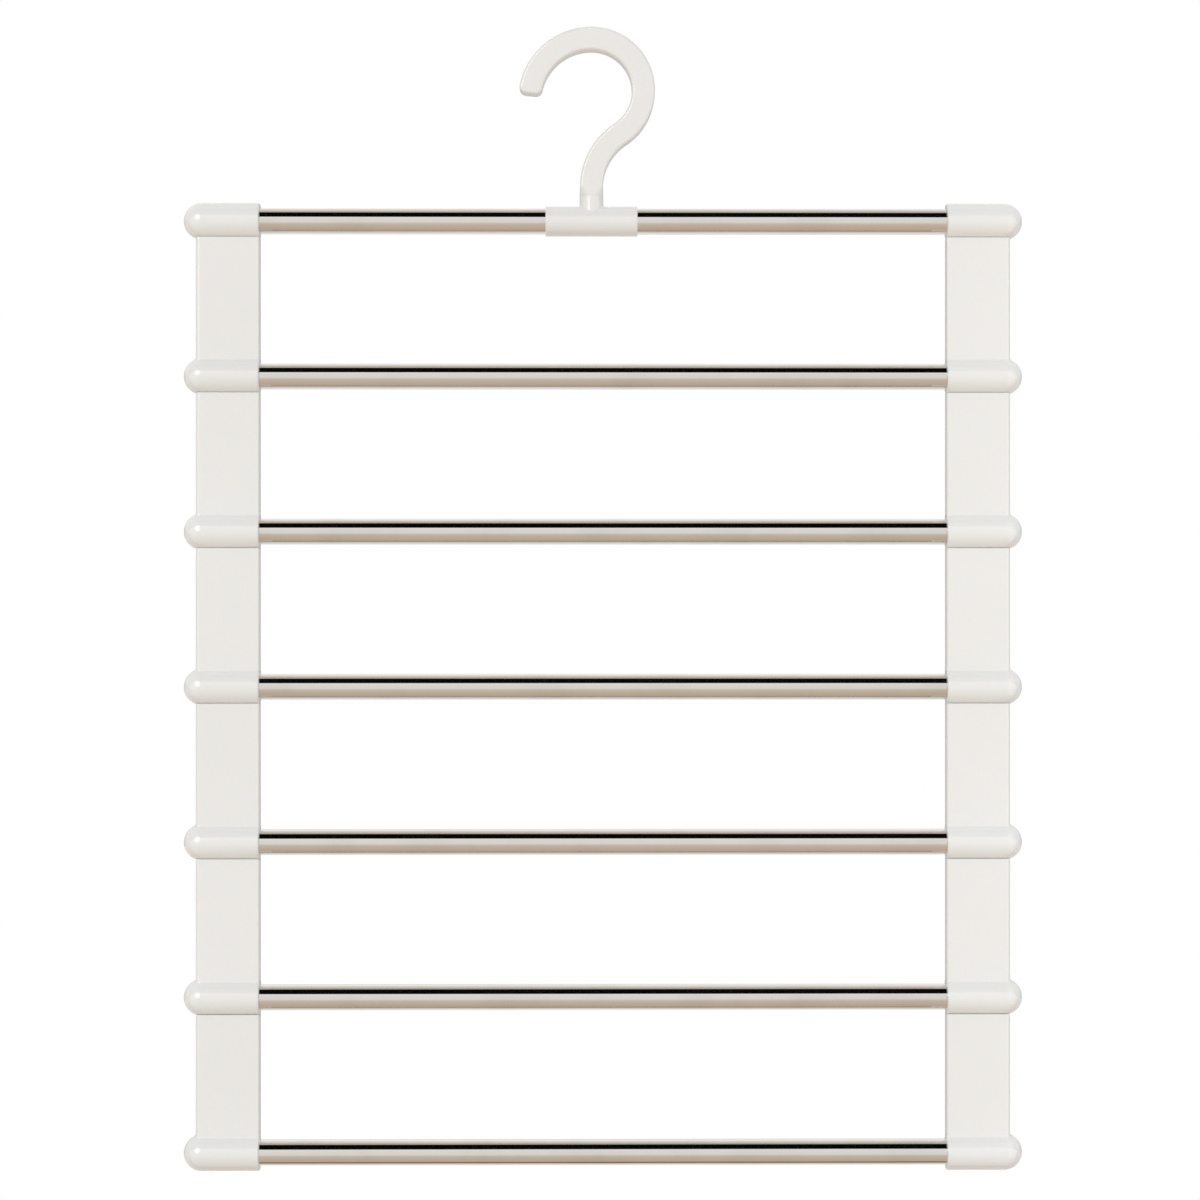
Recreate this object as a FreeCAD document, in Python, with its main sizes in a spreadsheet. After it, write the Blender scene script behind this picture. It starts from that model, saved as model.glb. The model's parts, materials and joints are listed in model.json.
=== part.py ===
import FreeCAD, Part
import math
import os
import Sketcher

# Multi-tier trouser hanger: a hook that turns on the top bar, seven polished bars, two top caps
# and twelve side links, six a side. Each link is a panel moulded in one with the cap at its foot.
# The eye at the top of a link sits inside the cap above it, and the bar of that tier is its pin.
#
# Millimetres. +Z is up, +X is to the right and the front faces -Y. The origin is the middle of the
# hook's seat, where the wardrobe rail goes.

TIERS = 7

# Driving dimensions
SIZES = {
    # Bars
    "bar_diameter": 12.0,        # outside of the tube
    "bar_wall": 0.6,             # sheet thickness of the tube
    "bar_clear": 318.4,          # length of bar between the left and the right cap
    "tier_pitch": 72.0,          # from one bar's axis to the next one's
    # Caps and the hinge inside them
    "turn_gap": 0.08,            # radial running clearance on a bar
    "eye_wall": 1.1,             # wall of the eye round the bar
    "swing_gap": 0.3,            # eye to the cap's inside
    "cap_wall": 0.92,            # shell of the cap round the eye
    "eye_length": 20.0,          # eye along the bar
    "socket_length": 6.6,        # seat of the bar's end, past the eye
    "mouth_round": 0.8,          # rounding of the cap's inner end
    "neck_thickness": 2.4,       # web between a panel and its eye
    "swing_limit": 12.0,         # degrees that a tier swings to the front and to the back
    "stop_margin": 1.5,          # degrees left between the neck and the slot's edge at that limit
    # Panels
    "panel_width": 29.5,
    "panel_overhang": 2.6,       # how far the panel's outer edge stands on the cap's domed end
    "panel_thickness": 9.0,
    "panel_gap": 0.25,           # top of a panel to the cap above it
    "panel_lip": 0.3,            # flat land at the front and back of the panel's hollow top
    "lip_bevel": 0.25,           # bevel of that land's outer edge
    "panel_edge_round": 2.0,     # rounding of the panel's outer upright edges
    "root_round": 2.2,           # fillet from a panel into its own cap
    # Hook
    "seat_radius": 18.7,         # inside of the hook's bend, on the side over the stem
    "front_bend_radius": 23.3,   # inside of the bend on the side that ends in the tip
    "neck_bend_radius": 29.6,    # middle line of the bend that brings the hook back over the stem
    "hook_width": 10.7,          # band of the hook, seen from the front
    "hook_depth": 11.0,          # band of the hook, front to back
    "hook_edge_round": 1.3,      # rounding along the band
    "tip_round": 3.2,            # corners of the tip
    "tip_height": -1.7,          # lowest point of the tip's middle line, from the seat's middle
    "stem_diameter": 11.0,
    "blend_share": 0.55,         # share of the stem, above its fillet, in which the band turns round
    "bar_drop": 60.4,            # seat's middle down to the top bar's axis
    "sleeve_length": 42.6,
    "sleeve_wall": 0.8,
    "sleeve_edge_round": 0.4,
    "stem_root_round": 1.0,      # fillet from the stem into the sleeve
    "hook_offset": 5.5,          # hook's stem to the middle of the bars
}

# Values that follow from the driving dimensions
FITS = {
    "bar_radius": "sizes.bar_diameter / 2",
    "bore_radius": "bar_radius + sizes.turn_gap",
    "eye_radius": "bore_radius + sizes.eye_wall",
    "cavity_radius": "eye_radius + sizes.swing_gap",
    "cap_radius": "cavity_radius + sizes.cap_wall",
    "cap_straight": "sizes.panel_width - sizes.panel_overhang",
    "cavity_depth": "sizes.eye_length + sizes.swing_gap",
    "seat_depth": "cavity_depth + sizes.socket_length",
    "bar_length": "sizes.bar_clear + 2 * seat_depth",
    "hollow_radius": "cap_radius + sizes.panel_gap",
    "hollow_half_width": "sizes.panel_thickness / 2 - sizes.panel_lip",
    "panel_top": "sizes.tier_pitch - sqrt(hollow_radius ^ 2 - hollow_half_width ^ 2)",
    "neck_foot": "sizes.tier_pitch - hollow_radius - sizes.neck_thickness",
    "slot_angle": "asin(sizes.neck_thickness / 2 / cavity_radius)"
                  " + (sizes.swing_limit + sizes.stop_margin) * 1 deg",
    "slot_reach": "2 * cap_radius",
    "slot_half_width": "slot_reach * tan(slot_angle)",
    "sleeve_radius": "bore_radius + sizes.sleeve_wall",
    "seat_line_radius": "sizes.seat_radius + sizes.hook_width / 2",
    "front_line_radius": "sizes.front_bend_radius + sizes.hook_width / 2",
    "bend_reach": "seat_line_radius + sizes.neck_bend_radius",
    "stem_top": "sqrt(bend_reach ^ 2 - sizes.neck_bend_radius ^ 2)",
    "stem_radius": "sizes.stem_diameter / 2",
    "stem_room": "sizes.bar_drop - stem_top - sleeve_radius - sizes.stem_root_round",
    "stem_blend": "sizes.blend_share * stem_room",
    # Half of the short sides that let the blend's round end match the corners of the band
    "stem_flat": "stem_radius / 50",
}

TOLERANCE = 1e-4

# Points of a sketch's line, arc or circle
START, END, CENTRE = range(1, 4)

doc = FreeCAD.newDocument("trouser_hanger")


def fill_sheet(name, cells):
    """A spreadsheet with one named cell for each entry."""
    sheet = doc.addObject("Spreadsheet::Sheet", name)
    for row, (alias, content) in enumerate(cells.items(), start=1):
        text = f"={content}" if isinstance(content, str) else str(content)
        sheet.set(f"A{row}", alias)
        sheet.set(f"B{row}", text)
        sheet.setAlias(f"B{row}", alias)
    doc.recompute()
    return sheet


sizes = fill_sheet("sizes", SIZES)
fits = fill_sheet("fits", FITS)


def number(expression):
    """What an expression of the sheets' values comes to."""
    result = sizes.evalExpression(expression)
    return float(getattr(result, "Value", result))


def point(across, up):
    return FreeCAD.Vector(number(across), number(up), 0)


def new_sketch(body, plane, name, offset=None):
    """A sketch on one of the body's own origin planes, moved along the plane's normal by offset."""
    sketch = body.newObject("Sketcher::SketchObject", f"{body.Name}_{name}")
    support = next(item for item in body.Origin.OriginFeatures if item.Role == plane)
    sketch.AttachmentSupport = [(support, "")]
    sketch.MapMode = "FlatFace"
    if offset:
        sketch.setExpression("AttachmentOffset.Base.z", offset)
    return sketch


def measure(sketch, kind, *elements, size):
    """A dimension of the sketch that follows an expression."""
    index = sketch.addConstraint(Sketcher.Constraint(kind, *elements, number(size)))
    sketch.setExpression(f"Constraints[{index}]", size)


def tie(sketch, kind, *elements):
    """A relation in the sketch that has no size."""
    sketch.addConstraint(Sketcher.Constraint(kind, *elements))


def hold(sketch, geometry, end, across, up):
    """Ties one point of the geometry to a place given by two expressions."""
    measure(sketch, "DistanceX", geometry, end, size=across)
    measure(sketch, "DistanceY", geometry, end, size=up)


def circle_about(centre, radius):
    """A circle in the sketch's plane."""
    return Part.Circle(centre, FreeCAD.Vector(0, 0, 1), radius)


def add_circle(sketch, radius, up="0"):
    circle = sketch.addGeometry(circle_about(point("0", up), number(radius)))
    measure(sketch, "Radius", circle, size=radius)
    hold(sketch, circle, CENTRE, "0", up)


def add_polygon(sketch, corners):
    """Straight sides through corners, each a pair of expressions."""
    count = len(corners)
    for index in range(count):
        start = point(*corners[index])
        end = point(*corners[(index + 1) % count])
        side = sketch.addGeometry(Part.LineSegment(start, end))
        hold(sketch, side, START, *corners[index])
    for index in range(count):
        tie(sketch, "Coincident", index, END, (index + 1) % count, START)


def add_rectangle(sketch, half_width, low, high):
    add_polygon(sketch, [
        (f"-({half_width})", low),
        (half_width, low),
        (half_width, high),
        (f"-({half_width})", high),
    ])


def pad(body, sketch, name, length, both_ways=False):
    feature = body.newObject("PartDesign::Pad", f"{body.Name}_{name}")
    feature.Profile = sketch
    feature.Midplane = both_ways
    feature.setExpression("Length", length)


def pocket(body, sketch, name, length, both_ways=False):
    """A cut along the sketch's normal, into the side that the body is on."""
    before = body.Shape.Volume
    feature = body.newObject("PartDesign::Pocket", f"{body.Name}_{name}")
    feature.Profile = sketch
    feature.Midplane = both_ways
    feature.Reversed = not both_ways
    feature.setExpression("Length", length)
    doc.recompute()
    if body.Shape.Volume >= before:
        raise RuntimeError(f"{feature.Name} cuts nothing")


def round_edges(body, name, radius, wanted):
    """A fillet on the edges of the body so far that wanted accepts, by three points of each."""
    doc.recompute()
    base = body.Tip
    names = []
    for index, edge in enumerate(base.Shape.Edges, start=1):
        first, last = edge.ParameterRange
        places = [edge.valueAt(first + share * (last - first)) for share in (0.0, 0.5, 1.0)]
        if wanted(places):
            names.append(f"Edge{index}")
    feature = body.newObject("PartDesign::Fillet", f"{body.Name}_{name}")
    feature.Base = (base, names)
    feature.setExpression("Radius", radius)
    doc.recompute()


def near(value, target):
    return abs(value - target) < TOLERANCE


def new_body(label):
    body = doc.addObject("PartDesign::Body", label)
    body.Label = label
    return body


def make_bar(tier):
    """A plain tube, centred on its own middle."""
    body = new_body(f"bar_{tier}")
    ring = new_sketch(body, "YZ_Plane", "ring")
    add_circle(ring, "fits.bar_radius")
    add_circle(ring, "fits.bar_radius - sizes.bar_wall")
    pad(body, ring, "tube", "fits.bar_length", both_ways=True)
    body.setExpression("Placement.Base.x", "sizes.hook_offset")
    body.setExpression("Placement.Base.z", bar_height(tier))
    return body


def bar_height(tier):
    """Height of a tier's bar, as an expression."""
    return f"-sizes.bar_drop - {tier - 1} * sizes.tier_pitch"


def add_cap(body):
    """A round cap with a domed outer end. Its inner end is at x = 0 and it runs outwards along +X."""
    profile = new_sketch(body, "XZ_Plane", "cap_profile")
    foot = point("0", "0")
    rim = point("0", "-fits.cap_radius")
    shoulder = point("fits.cap_straight", "-fits.cap_radius")
    middle = point("fits.cap_straight", "0")
    crown = point("fits.cap_straight + fits.cap_radius", "0")
    end_face = profile.addGeometry(Part.LineSegment(foot, rim))
    side = profile.addGeometry(Part.LineSegment(rim, shoulder))
    circle = circle_about(middle, number("fits.cap_radius"))
    dome = profile.addGeometry(Part.ArcOfCircle(circle, -math.pi / 2, 0))
    axis = profile.addGeometry(Part.LineSegment(crown, foot))
    hold(profile, end_face, START, "0", "0")
    tie(profile, "Vertical", end_face)
    tie(profile, "Horizontal", side)
    tie(profile, "Horizontal", axis)
    tie(profile, "Coincident", end_face, END, side, START)
    tie(profile, "Tangent", side, END, dome, START)
    tie(profile, "Coincident", dome, END, axis, START)
    tie(profile, "Coincident", axis, END, end_face, START)
    tie(profile, "PointOnObject", dome, CENTRE, axis)
    measure(profile, "Radius", dome, size="fits.cap_radius")
    measure(profile, "DistanceX", side, END, size="fits.cap_straight")
    revolution = body.newObject("PartDesign::Revolution", f"{body.Name}_cap")
    revolution.Profile = profile
    revolution.ReferenceAxis = (profile, ["H_Axis"])
    revolution.Angle = 360


def add_panel(body):
    """The flat panel over the cap, hollowed along its top to go round the cap above."""
    outline = new_sketch(body, "YZ_Plane", "panel_outline")
    half = "sizes.panel_thickness / 2"
    inner = "fits.hollow_half_width"
    bevelled = "(sizes.panel_thickness / 2 - sizes.lip_bevel)"
    shoulder = "fits.panel_top - sizes.lip_bevel"
    corners = [
        (f"-{inner}", "fits.panel_top"),
        (f"-{bevelled}", "fits.panel_top"),
        (f"-{half}", shoulder),
        (f"-{half}", "0"),
        (half, "0"),
        (half, shoulder),
        (bevelled, "fits.panel_top"),
        (inner, "fits.panel_top"),
    ]
    for start, end in zip(corners, corners[1:]):
        side = outline.addGeometry(Part.LineSegment(point(*start), point(*end)))
        hold(outline, side, START, *start)
        if side:
            tie(outline, "Coincident", side - 1, END, side, START)
    hold(outline, side, END, *corners[-1])
    lean = math.asin(number(f"{inner} / fits.hollow_radius"))
    circle = circle_about(point("0", "sizes.tier_pitch"), number("fits.hollow_radius"))
    hollow = outline.addGeometry(Part.ArcOfCircle(circle, -math.pi / 2 - lean, -math.pi / 2 + lean))
    tie(outline, "Coincident", hollow, START, 0, START)
    tie(outline, "Coincident", hollow, END, side, END)
    measure(outline, "DistanceY", hollow, CENTRE, size="sizes.tier_pitch")
    pad(body, outline, "panel", "sizes.panel_width")


def round_panel(body):
    """Softens the panel's edges and runs it into its cap and the cap's inner end."""
    half = number("sizes.panel_thickness / 2")
    width = number("sizes.panel_width")
    straight = number("fits.cap_straight")
    radius = number("fits.cap_radius")

    def on_cap(place):
        past = max(place.x - straight, 0)
        return near(math.hypot(past, math.hypot(place.y, place.z)), radius)

    round_edges(body, "outer_edges", "sizes.panel_edge_round",
                lambda places: all(near(p.x, width) and near(abs(p.y), half) for p in places))
    round_edges(body, "root", "sizes.root_round",
                lambda places: all(on_cap(p) and p.z > 0 and abs(p.y) < half + TOLERANCE for p in places)
                and not near(places[1].x, 0))
    round_edges(body, "mouth", "sizes.mouth_round",
                lambda places: all(near(p.x, 0) for p in places) and abs(places[1].y) > half - TOLERANCE)


def round_mouth(body):
    """Softens the inner end of a cap that carries no panel."""
    round_edges(body, "mouth", "sizes.mouth_round",
                lambda places: all(near(p.x, 0) for p in places))


def add_eye(body):
    """The neck over the panel and the eye that turns on the bar above."""
    neck = new_sketch(body, "YZ_Plane", "neck_outline")
    add_rectangle(neck, "sizes.neck_thickness / 2", "fits.neck_foot", "sizes.tier_pitch")
    pad(body, neck, "neck", "sizes.eye_length")
    eye = new_sketch(body, "YZ_Plane", "eye_outline")
    add_circle(eye, "fits.eye_radius", up="sizes.tier_pitch")
    pad(body, eye, "eye", "sizes.eye_length")
    doc.recompute()
    bore = new_sketch(body, "YZ_Plane", "eye_bore")
    add_circle(bore, "fits.bore_radius", up="sizes.tier_pitch")
    pocket(body, bore, "eye_hole", "sizes.eye_length")


def open_cap(body):
    """The room in a cap for the next link's eye, with a slot below for its neck."""
    cavity = new_sketch(body, "YZ_Plane", "cavity_outline")
    add_circle(cavity, "fits.cavity_radius")
    pocket(body, cavity, "cavity", "fits.cavity_depth")
    slot = new_sketch(body, "YZ_Plane", "slot_outline")
    add_polygon(slot, [
        ("0", "0"),
        ("-fits.slot_half_width", "-fits.slot_reach"),
        ("fits.slot_half_width", "-fits.slot_reach"),
    ])
    pocket(body, slot, "slot", "fits.cavity_depth")


def add_socket(body):
    """The seat of the bar's end."""
    doc.recompute()
    socket = new_sketch(body, "YZ_Plane", "socket_outline")
    add_circle(socket, "fits.bar_radius")
    pocket(body, socket, "socket", "fits.seat_depth")


def place_at_end(body, side, tier):
    """Sets a cap or link on the left or right end of a tier's bar, with its +X pointing outwards."""
    sign = -1 if side == "left" else 1
    turn = 180 if side == "left" else 0
    body.Placement = FreeCAD.Placement(FreeCAD.Vector(), FreeCAD.Rotation(FreeCAD.Vector(0, 0, 1), turn))
    body.setExpression("Placement.Base.x", f"sizes.hook_offset + {sign} * sizes.bar_clear / 2")
    body.setExpression("Placement.Base.z", bar_height(tier))


def make_top_cap(side):
    body = new_body(f"top_cap_{side}")
    add_cap(body)
    round_mouth(body)
    open_cap(body)
    add_socket(body)
    place_at_end(body, side, 1)
    return body


def make_side_link(side, step):
    """The link that hangs from one tier's bar and carries the next. The last one's cap has no slot."""
    body = new_body(f"side_link_{side}_{step}")
    tier = step + 1
    add_cap(body)
    add_panel(body)
    round_panel(body)
    add_eye(body)
    if tier < TIERS:
        open_cap(body)
    add_socket(body)
    place_at_end(body, side, tier)
    return body


def add_rounded_rectangle(sketch, width, depth, corner):
    """A rectangle about the origin with round corners, as four sides and four arcs."""
    half_x, half_y = f"({width}) / 2", f"({depth}) / 2"
    reach_x, reach_y = f"({half_x} - {corner})", f"({half_y} - {corner})"
    quarters = [("1", "1"), ("-1", "1"), ("-1", "-1"), ("1", "-1")]
    arcs = []
    for turn, (sign_x, sign_y) in enumerate(quarters):
        centre = (f"{sign_x} * {reach_x}", f"{sign_y} * {reach_y}")
        circle = circle_about(point(*centre), number(corner))
        arc = sketch.addGeometry(Part.ArcOfCircle(circle, turn * math.pi / 2, (turn + 1) * math.pi / 2))
        hold(sketch, arc, CENTRE, *centre)
        measure(sketch, "Radius", arc, size=corner)
        arcs.append(arc)
    for index, arc in enumerate(arcs):
        following = arcs[(index + 1) % len(arcs)]
        start = sketch.Geometry[arc].EndPoint
        end = sketch.Geometry[following].StartPoint
        side = sketch.addGeometry(Part.LineSegment(start, end))
        tie(sketch, "Tangent", arc, END, side, START)
        tie(sketch, "Tangent", side, END, following, START)


def add_hook_line(sketch):
    """Middle line of the hook's band: bend at the tip, bend over the rail, bend back to the stem."""
    seat_radius = number("fits.seat_line_radius")
    front_radius = number("fits.front_line_radius")
    neck_radius = number("sizes.neck_bend_radius")
    reach = number("fits.bend_reach")
    turn = math.acos(neck_radius / reach)
    tip_rise = number("sizes.tip_height") + front_radius - seat_radius
    tip_angle = math.pi - math.asin(tip_rise / front_radius)
    front_centre = FreeCAD.Vector(0, seat_radius - front_radius, 0)
    neck_centre = FreeCAD.Vector(reach * math.cos(turn), -reach * math.sin(turn), 0)
    front_circle = circle_about(front_centre, front_radius)
    seat_circle = circle_about(FreeCAD.Vector(), seat_radius)
    neck_circle = circle_about(neck_centre, neck_radius)
    front = sketch.addGeometry(Part.ArcOfCircle(front_circle, math.pi / 2, tip_angle))
    seat = sketch.addGeometry(Part.ArcOfCircle(seat_circle, -turn, math.pi / 2))
    neck = sketch.addGeometry(Part.ArcOfCircle(neck_circle, math.pi - turn, math.pi))
    measure(sketch, "Radius", front, size="fits.front_line_radius")
    measure(sketch, "Radius", seat, size="fits.seat_line_radius")
    measure(sketch, "Radius", neck, size="sizes.neck_bend_radius")
    hold(sketch, seat, CENTRE, "0", "0")
    measure(sketch, "DistanceX", front, CENTRE, size="0")
    tie(sketch, "Tangent", front, START, seat, END)
    tie(sketch, "Tangent", seat, START, neck, START)
    hold(sketch, neck, END, "0", "-fits.stem_top")
    measure(sketch, "DistanceY", front, END, size="sizes.tip_height")


def add_band(body):
    """The flat band of the hook, from its tip to the top of the stem."""
    line = new_sketch(body, "XZ_Plane", "line")
    add_hook_line(line)
    section = new_sketch(body, "XY_Plane", "section", offset="-fits.stem_top")
    add_rectangle(section, "sizes.hook_width / 2", "-sizes.hook_depth / 2", "sizes.hook_depth / 2")
    band = body.newObject("PartDesign::AdditivePipe", "hook_band")
    band.Profile = section
    band.Spine = (line, [])
    band.Mode = "Binormal"
    band.Binormal = FreeCAD.Vector(0, 1, 0)
    depth = number("sizes.hook_depth")
    stem_top = number("fits.stem_top")
    tip_reach = number("sizes.tip_height + sizes.hook_width")

    def is_tip_corner(places):
        runs_through = near(abs(places[0].y - places[-1].y), depth)
        return runs_through and places[0].x < 0 and -stem_top + TOLERANCE < places[1].z < tip_reach

    def is_band_edge(places):
        return near(abs(places[1].y), depth / 2) and not all(near(p.z, -stem_top) for p in places)

    round_edges(body, "tip", "sizes.tip_round", is_tip_corner)
    round_edges(body, "band_edges", "sizes.hook_edge_round", is_band_edge)


def add_stem(body):
    """The round stem, and the stretch in which the band turns into it."""
    blend_top = new_sketch(body, "XY_Plane", "blend_top", offset="-fits.stem_top")
    add_rounded_rectangle(blend_top, "sizes.hook_width", "sizes.hook_depth", "sizes.hook_edge_round")
    blend_end = new_sketch(body, "XY_Plane", "blend_end", offset="-fits.stem_top - fits.stem_blend")
    add_rounded_rectangle(blend_end, "sizes.stem_diameter", "sizes.stem_diameter",
                          "(fits.stem_radius - fits.stem_flat)")
    blend = body.newObject("PartDesign::AdditiveLoft", "hook_blend")
    blend.Profile = blend_top
    blend.Sections = [blend_end]

    stem = new_sketch(body, "XY_Plane", "stem_outline", offset="-sizes.bar_drop")
    add_circle(stem, "fits.stem_radius")
    pad(body, stem, "stem", "sizes.bar_drop - fits.stem_top - fits.stem_blend")


def add_sleeve(body):
    """The sleeve that turns on the top bar."""
    sleeve = new_sketch(body, "YZ_Plane", "sleeve_outline")
    add_circle(sleeve, "fits.sleeve_radius", up="-sizes.bar_drop")
    pad(body, sleeve, "sleeve", "sizes.sleeve_length", both_ways=True)
    sleeve_half = number("sizes.sleeve_length / 2")
    sleeve_radius = number("fits.sleeve_radius")
    stem_radius = number("fits.stem_radius")
    drop = number("sizes.bar_drop")

    def on_sleeve(place):
        return near(math.hypot(place.y, place.z + drop), sleeve_radius)

    round_edges(body, "sleeve_ends", "sizes.sleeve_edge_round",
                lambda places: all(near(abs(p.x), sleeve_half) and on_sleeve(p) for p in places))
    round_edges(body, "stem_root", "sizes.stem_root_round",
                lambda places: all(on_sleeve(p) and abs(p.x) < stem_radius + TOLERANCE for p in places))
    bore = new_sketch(body, "YZ_Plane", "sleeve_bore")
    add_circle(bore, "fits.bore_radius", up="-sizes.bar_drop")
    pocket(body, bore, "bore", "sizes.sleeve_length", both_ways=True)


def make_hook():
    """One moulding: the band, the stem and the sleeve."""
    body = new_body("hook")
    add_band(body)
    add_stem(body)
    add_sleeve(body)
    return body


def check(parts):
    """Stops if anything failed to build."""
    doc.recompute()
    for item in doc.Objects:
        if "Invalid" in item.State or "Error" in item.State:
            raise RuntimeError(f"{item.Name} failed: {item.State}")
    for item in parts:
        if item.Shape.isNull() or not item.Shape.isValid() or len(item.Shape.Solids) != 1:
            raise RuntimeError(f"{item.Label} is not one sound solid")


parts = [make_hook()]
for tier in range(1, TIERS + 1):
    parts.append(make_bar(tier))
for side in ("left", "right"):
    parts.append(make_top_cap(side))
    for step in range(1, TIERS):
        parts.append(make_side_link(side, step))
check(parts)

os.makedirs("parts", exist_ok=True)
for item in parts:
    item.Shape.exportStep(f"parts/{item.Label}.step")
    print(f"{item.Label}: {item.Shape.Volume:.1f} mm3")
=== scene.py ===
"""Looks of the multi-tier trouser hanger: white moulded plastic, polished tube bars, a pale studio."""
import json
import math

import bpy
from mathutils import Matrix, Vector


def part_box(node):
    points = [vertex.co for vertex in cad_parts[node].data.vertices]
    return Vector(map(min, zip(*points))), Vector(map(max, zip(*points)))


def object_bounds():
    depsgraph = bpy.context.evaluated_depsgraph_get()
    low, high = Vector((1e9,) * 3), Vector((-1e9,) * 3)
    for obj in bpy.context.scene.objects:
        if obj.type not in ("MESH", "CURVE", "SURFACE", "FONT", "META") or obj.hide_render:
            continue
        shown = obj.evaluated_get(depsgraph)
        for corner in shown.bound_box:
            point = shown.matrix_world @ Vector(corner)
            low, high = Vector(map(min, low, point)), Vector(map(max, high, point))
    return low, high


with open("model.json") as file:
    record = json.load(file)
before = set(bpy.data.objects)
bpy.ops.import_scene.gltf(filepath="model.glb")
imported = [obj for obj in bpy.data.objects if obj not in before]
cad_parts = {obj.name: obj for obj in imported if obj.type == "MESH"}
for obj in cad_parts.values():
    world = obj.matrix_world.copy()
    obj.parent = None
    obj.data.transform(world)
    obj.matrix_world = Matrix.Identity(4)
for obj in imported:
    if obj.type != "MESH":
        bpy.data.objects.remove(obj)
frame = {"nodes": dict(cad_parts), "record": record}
cad_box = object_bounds()

# Sizes in metres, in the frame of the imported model: +Z up, front towards -Y, origin in the hook's seat.
MM = 0.001

# The photograph is 1200 pixels square and looks straight at the hanger's front.
PHOTO_PIXELS = 1200
PIXEL = 0.4643 * MM                # size of a pixel on the plane of the bars
TOP_BAR_PIXEL = (603.3, 221.6)     # where the middle of the top bar is in it
CAMERA_DISTANCE = 1.5
CAMERA_TURN = -0.5                 # degrees that it stands to the right of straight ahead
SENSOR = 36.0                      # width in millimetres, as the lens

FLOOR_DROP = 0.15                  # floor below the lowest cap
FLOOR_RADIUS = 0.5
FLOOR_SOLID = 0.6                  # share of the radius where it starts to fade
FLOOR_CORNERS = 96
FLOOR_COLOUR = (0.9, 0.9, 0.89)

# Plastic. A noise's scale is per metre, and its range is the part of it that is spread over the effect.
PLASTIC_COLOUR = (0.80, 0.80, 0.785)
PLASTIC_SHADE = (0.785, 0.785, 0.767)
PLASTIC_ROUGHNESS = (0.07, 0.11)
PLASTIC_IOR = 1.65
CLOUD_SCALE = 12.0
CLOUD_RANGE = (0.35, 0.65)
HANDLING_SCALE = 60.0
HANDLING_RANGE = (0.3, 0.7)
PEEL_SCALE = 700.0
PEEL_STRENGTH = 0.02
PEEL_DEPTH = 0.05 * MM
SCATTER_SHARE = 0.05
SCATTER_DEPTH = 0.5 * MM

# Steel
STEEL_COLOUR = (0.80, 0.79, 0.775)
STEEL_SMEAR = (0.74, 0.73, 0.71)
STEEL_ROUGHNESS = (0.03, 0.06)
RING_SCALE = (2600.0, 60.0, 60.0)  # close along the bar and long round it
RING_RANGE = (0.3, 0.7)
RING_STRENGTH = 0.01
RING_DEPTH = 0.02 * MM
SMEAR_SCALE = 35.0
SMEAR_RANGE = (0.45, 0.75)
SMEAR_ROUGHNESS = 0.04             # added where a smear is

# Far soft lights: degrees to the right of the front and above the horizon, width in degrees, strength
KEY_DIRECTION = (-26, 20)
KEY_WIDTH = 34
KEY_STRENGTH = 0.72
# The fill is behind, so that the back is lit too
FILL_DIRECTION = (180, 20)
FILL_WIDTH = 34
FILL_STRENGTH = 0.6

# Soft panels: place from the picture's middle, to the side and along Y, size, and power by side
SIDE_PLACE = (0.5, -0.25)
SIDE_SIZE = (0.4, 1.0)
SIDE_STRENGTH = {-1: 0.38, 1: 0.72}  # -1 is the left
SIDE_DIM = 0.25                    # soft light from straight left or right, against the front's

# What a mirror-bright surface sees, by the angle up from straight ahead (-Y), in degrees
MIRRORED = [
    (-180, (0.60, 0.59, 0.57)),
    (-168, (0.60, 0.59, 0.57)),
    (-160, (1.0, 1.0, 0.99)),
    (-150, (1.0, 0.99, 0.97)),
    (-125, (0.80, 0.74, 0.68)),
    (-107, (0.74, 0.67, 0.59)),
    (-102, (0.18, 0.12, 0.08)),
    (-92, (0.18, 0.12, 0.08)),
    (-85, (0.56, 0.45, 0.35)),
    (-62, (0.61, 0.49, 0.38)),
    (-40, (0.63, 0.54, 0.44)),
    (-26, (0.67, 0.60, 0.52)),
    (-12, (0.84, 0.80, 0.75)),
    (20, (0.86, 0.84, 0.81)),
    (32, (0.92, 0.90, 0.88)),
    (36, (0.002, 0.002, 0.002)),
    (78, (0.002, 0.002, 0.002)),
    (84, (0.52, 0.47, 0.42)),
    (103, (0.72, 0.65, 0.57)),
    (118, (0.88, 0.82, 0.74)),
    (135, (1.0, 0.99, 0.98)),
    (160, (1.0, 1.0, 1.0)),
    (168, (0.60, 0.59, 0.57)),
    (180, (0.60, 0.59, 0.57)),
]
# Soft light from all round, by the sine of the angle above the horizon
SOFT_LIGHT = [
    (-1.0, (0.62, 0.48, 0.36)),
    (-0.5, (0.96, 0.89, 0.82)),
    (0.0, (1.01, 1.02, 1.03)),
    (0.5, (0.92, 0.92, 0.92)),
    (1.0, (0.80, 0.80, 0.80)),
]
BACKGROUND = (1.0, 1.0, 1.0)


def opaque(colour):
    """A colour with full alpha."""
    return (*colour, 1.0)


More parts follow.
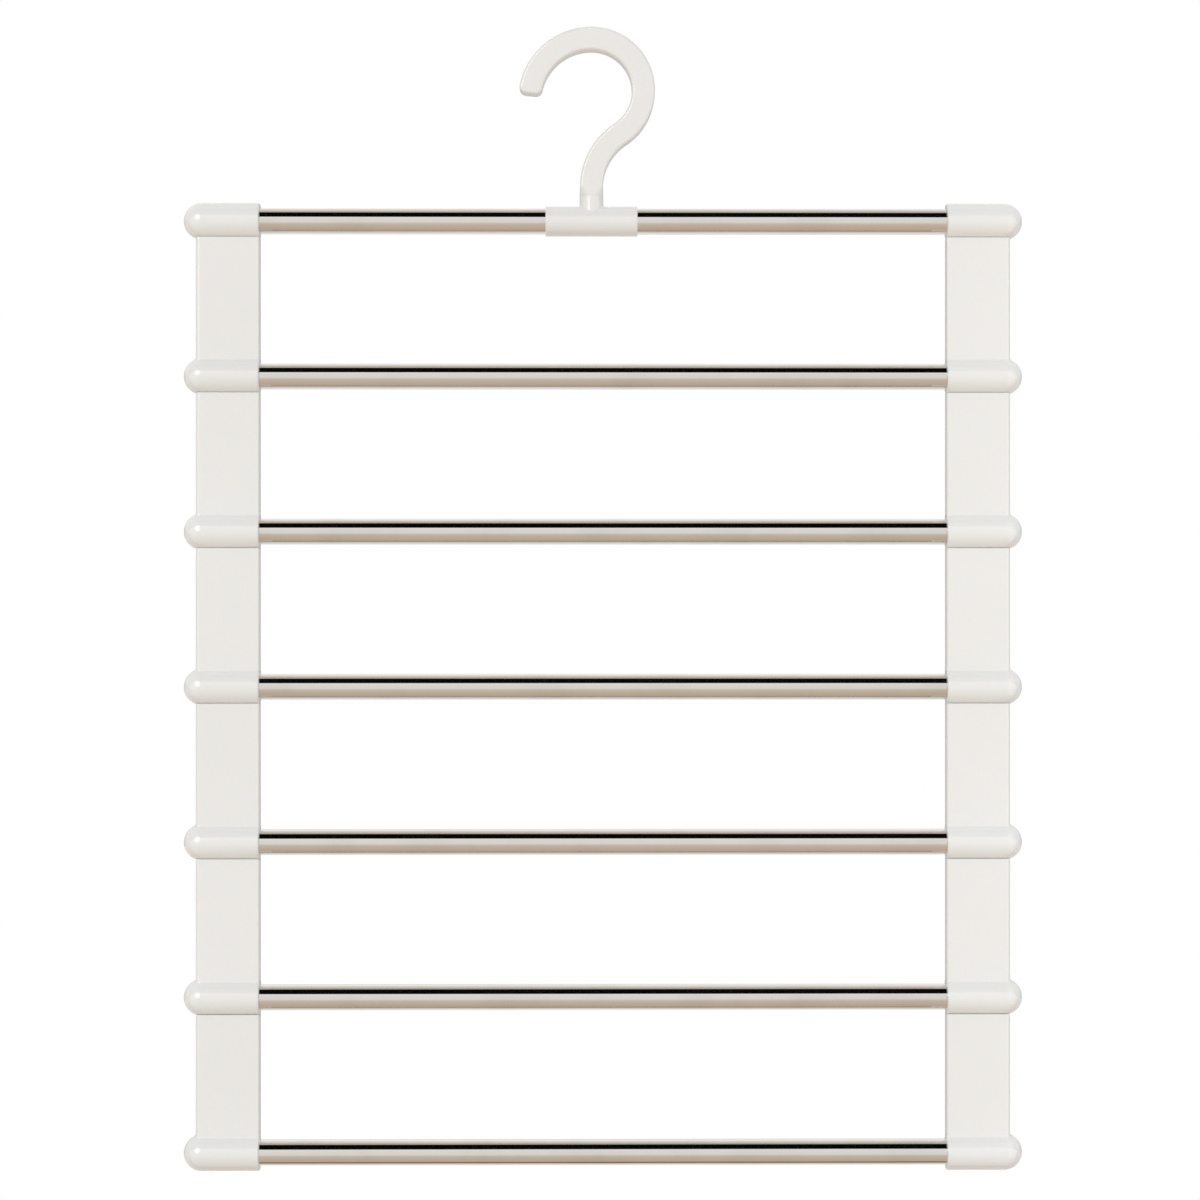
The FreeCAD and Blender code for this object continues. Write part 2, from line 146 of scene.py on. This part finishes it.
class Nodes:
    """Short calls for building a node tree."""

    def __init__(self, owner):
        """Empties the tree of a material or a world."""
        owner.use_nodes = True
        self.tree = owner.node_tree
        self.tree.nodes.clear()

    def feed(self, socket, value):
        """Links a socket to another one, or sets its value."""
        if isinstance(value, bpy.types.NodeSocket):
            self.tree.links.new(value, socket)
        else:
            socket.default_value = value

    def add(self, kind, inputs=None, **settings):
        """A new node with its settings, and with its inputs linked or set."""
        node = self.tree.nodes.new(kind)
        for name, value in settings.items():
            setattr(node, name, value)
        for name, value in (inputs or {}).items():
            self.feed(node.inputs[name], value)
        return node

    def math(self, operation, first, second):
        """The result of an operation on two sockets or numbers."""
        node = self.add("ShaderNodeMath", operation=operation)
        for socket, value in zip(node.inputs, (first, second)):
            self.feed(socket, value)
        return node.outputs[0]

    def noise(self, vector, scale, detail=2.0, roughness=0.5):
        """Smooth noise between 0 and 1."""
        return self.add("ShaderNodeTexNoise", {
            "Vector": vector, "Scale": scale, "Detail": detail, "Roughness": roughness,
        }).outputs["Fac"]

    def spread(self, value, source, target=(0.0, 1.0)):
        """Maps the range source of a value onto the range target and clamps it."""
        return self.add("ShaderNodeMapRange", {
            "Value": value, "From Min": source[0], "From Max": source[1],
            "To Min": target[0], "To Max": target[1],
        }).outputs["Result"]

    def mix_colour(self, factor, first, second):
        """A blend of two plain colours."""
        node = self.add("ShaderNodeMix", data_type="RGBA")
        sockets = {socket.name: socket for socket in node.inputs if socket.enabled}
        self.feed(sockets["Factor"], factor)
        self.feed(sockets["A"], opaque(first))
        self.feed(sockets["B"], opaque(second))
        return next(socket for socket in node.outputs if socket.enabled)

    def place(self):
        """Position in a piece's own frame, in metres."""
        return self.add("ShaderNodeTexCoord").outputs["Object"]

    def bump(self, height, strength, depth):
        """The surface's normal, tilted by a height."""
        node = self.add("ShaderNodeBump", {"Height": height, "Strength": strength, "Distance": depth})
        return node.outputs["Normal"]

    def show(self, shader):
        """Makes a shader the material's surface."""
        self.add("ShaderNodeOutputMaterial", {"Surface": shader.outputs[0]})


def make_plastic():
    """Glossy off-white moulding: faint clouding, a fine orange peel and slightly uneven gloss."""
    material = bpy.data.materials.new("white_plastic")
    nodes = Nodes(material)
    where = nodes.place()
    clouds = nodes.spread(nodes.noise(where, CLOUD_SCALE), CLOUD_RANGE)
    handling = nodes.noise(where, HANDLING_SCALE, detail=3.0, roughness=0.55)
    peel = nodes.noise(where, PEEL_SCALE, detail=1.0)
    nodes.show(nodes.add("ShaderNodeBsdfPrincipled", {
        "Base Color": nodes.mix_colour(clouds, PLASTIC_COLOUR, PLASTIC_SHADE),
        "Roughness": nodes.spread(handling, HANDLING_RANGE, PLASTIC_ROUGHNESS),
        "Normal": nodes.bump(peel, PEEL_STRENGTH, PEEL_DEPTH),
        "IOR": PLASTIC_IOR,
        "Subsurface Weight": SCATTER_SHARE,
        "Subsurface Scale": SCATTER_DEPTH,
    }))
    return material


def make_steel():
    """Polished tube: close rings left by the polishing wheel and faint handling marks."""
    material = bpy.data.materials.new("polished_steel")
    nodes = Nodes(material)
    where = nodes.place()
    along = nodes.add("ShaderNodeMapping", {"Vector": where, "Scale": RING_SCALE}).outputs[0]
    rings = nodes.noise(along, 1.0, detail=3.0)
    smears = nodes.spread(nodes.noise(where, SMEAR_SCALE, detail=4.0, roughness=0.6), SMEAR_RANGE)
    smear_roughness = nodes.math("MULTIPLY", smears, SMEAR_ROUGHNESS)
    ring_roughness = nodes.spread(rings, RING_RANGE, STEEL_ROUGHNESS)
    nodes.show(nodes.add("ShaderNodeBsdfPrincipled", {
        "Base Color": nodes.mix_colour(smears, STEEL_COLOUR, STEEL_SMEAR),
        "Metallic": 1.0,
        "Roughness": nodes.math("ADD", smear_roughness, ring_roughness),
        "Normal": nodes.bump(rings, RING_STRENGTH, RING_DEPTH),
    }))
    return material


def dress(materials):
    """Gives every node the material of its slot in the record."""
    slots = {row["node"]: row["material_slot"] for row in frame["record"]["subparts"]}
    for name, item in frame["nodes"].items():
        item.data.materials.clear()
        item.data.materials.append(materials[slots[name]])


def picture_middle():
    """Point of the bars' plane that the photograph's middle pixel shows."""
    low, high = (Vector(corner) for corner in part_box("bar_1"))
    across = PHOTO_PIXELS / 2 - TOP_BAR_PIXEL[0]
    up = TOP_BAR_PIXEL[1] - PHOTO_PIXELS / 2
    return (low + high) / 2 + PIXEL * Vector((across, 0, up))


def make_camera():
    """A level camera at the photograph's place, with its framing."""
    camera = bpy.data.cameras.new("camera")
    camera.sensor_width = SENSOR
    camera.lens = SENSOR * CAMERA_DISTANCE / (PHOTO_PIXELS * PIXEL)
    item = bpy.data.objects.new("camera", camera)
    turn = math.radians(CAMERA_TURN)
    item.location = picture_middle() + CAMERA_DISTANCE * Vector((math.sin(turn), -math.cos(turn), 0))
    item.rotation_euler = (math.radians(90), 0, turn)
    bpy.context.scene.collection.objects.link(item)
    bpy.context.scene.camera = item


def make_floor(low):
    """A pale round floor under the hanger, which fades out into the white around it."""
    material = bpy.data.materials.new("floor")
    nodes = Nodes(material)
    reach = nodes.add("ShaderNodeVectorMath", {0: nodes.place()}, operation="LENGTH").outputs["Value"]
    fade = nodes.spread(reach, (FLOOR_SOLID * FLOOR_RADIUS, FLOOR_RADIUS))
    pale = nodes.add("ShaderNodeBsdfDiffuse", {"Color": opaque(FLOOR_COLOUR)})
    clear = nodes.add("ShaderNodeBsdfTransparent")
    nodes.show(nodes.add("ShaderNodeMixShader", {0: fade, 1: pale.outputs[0], 2: clear.outputs[0]}))
    bpy.ops.mesh.primitive_circle_add(vertices=FLOOR_CORNERS, radius=FLOOR_RADIUS, fill_type="NGON")
    floor = bpy.context.object
    floor.name = "floor"
    floor.location = (picture_middle().x, 0, low - FLOOR_DROP)
    floor.data.materials.append(material)
    floor.visible_glossy = False
    floor.visible_diffuse = False


def add_ramp(nodes, value, stops):
    """A colour ramp over stops, which are pairs of a value and its colour, in rising order."""
    low = stops[0][0]
    high = stops[-1][0]
    ramp = nodes.add("ShaderNodeValToRGB", {"Fac": nodes.spread(value, (low, high))})
    elements = ramp.color_ramp.elements
    while len(elements) < len(stops):
        elements.new(0.5)  # its place is set below
    for element, (stop, colour) in zip(elements, stops):
        element.position = (stop - low) / (high - low)
        element.color = opaque(colour)
    return ramp.outputs["Color"]


def make_world():
    """A white studio. What the polished parts mirror is banded: see MIRRORED."""
    world = bpy.data.worlds.new("studio")
    bpy.context.scene.world = world
    nodes = Nodes(world)
    facing = nodes.add("ShaderNodeSeparateXYZ", {
        "Vector": nodes.add("ShaderNodeTexCoord").outputs["Generated"]})
    ahead = nodes.math("MULTIPLY", facing.outputs["Y"], -1.0)
    around = nodes.math("MULTIPLY", nodes.math("ARCTAN2", facing.outputs["Z"], ahead), 180 / math.pi)
    sideways = nodes.math("MULTIPLY", facing.outputs["X"], facing.outputs["X"])
    soft = nodes.add("ShaderNodeBackground", {
        "Color": add_ramp(nodes, facing.outputs["Z"], SOFT_LIGHT),
        "Strength": nodes.spread(sideways, (0.0, 1.0), (1.0, SIDE_DIM)),
    })
    banded = nodes.add("ShaderNodeBackground", {"Color": add_ramp(nodes, around, MIRRORED)})
    white = nodes.add("ShaderNodeBackground", {"Color": opaque(BACKGROUND)})
    ray = nodes.add("ShaderNodeLightPath")
    studio = nodes.add("ShaderNodeMixShader", {
        0: ray.outputs["Is Glossy Ray"], 1: soft.outputs[0], 2: banded.outputs[0]})
    mixed = nodes.add("ShaderNodeMixShader", {
        0: ray.outputs["Is Camera Ray"], 1: studio.outputs[0], 2: white.outputs[0]})
    nodes.add("ShaderNodeOutputWorld", {"Surface": mixed.outputs[0]})


def add_light(name, kind, energy, towards):
    """A light that shines from the direction towards, as seen from the hanger."""
    light = bpy.data.lights.new(name, kind)
    light.energy = energy
    item = bpy.data.objects.new(name, light)
    item.rotation_euler = towards.to_track_quat("Z", "Y").to_euler()
    bpy.context.scene.collection.objects.link(item)
    return item


def add_sun(name, direction, width, strength):
    """A far soft light: degrees to the right of the front and above the horizon, width in degrees."""
    turn, rise = (math.radians(angle) for angle in direction)
    level = math.cos(rise)
    towards = Vector((level * math.sin(turn), -level * math.cos(turn), math.sin(rise)))
    sun = add_light(name, "SUN", strength, towards)
    sun.data.angle = math.radians(width)
    return sun


def make_lights():
    """Far soft lights at the front and the back, and a tall soft panel near each side."""
    add_sun("key", KEY_DIRECTION, KEY_WIDTH, KEY_STRENGTH)
    fill = add_sun("fill", FILL_DIRECTION, FILL_WIDTH, FILL_STRENGTH)
    fill.visible_glossy = False
    for side, strength in SIDE_STRENGTH.items():
        towards = Vector((side * SIDE_PLACE[0], SIDE_PLACE[1], 0))
        panel = add_light(f"side_{side}", "AREA", strength, towards)
        panel.data.shape = "RECTANGLE"
        panel.data.size, panel.data.size_y = SIDE_SIZE
        panel.location = picture_middle() + towards


dress({"white_plastic": make_plastic(), "polished_steel": make_steel()})
make_camera()
make_floor(cad_box[0][2])
make_world()
make_lights()
bpy.context.scene.view_settings.view_transform = "Standard"
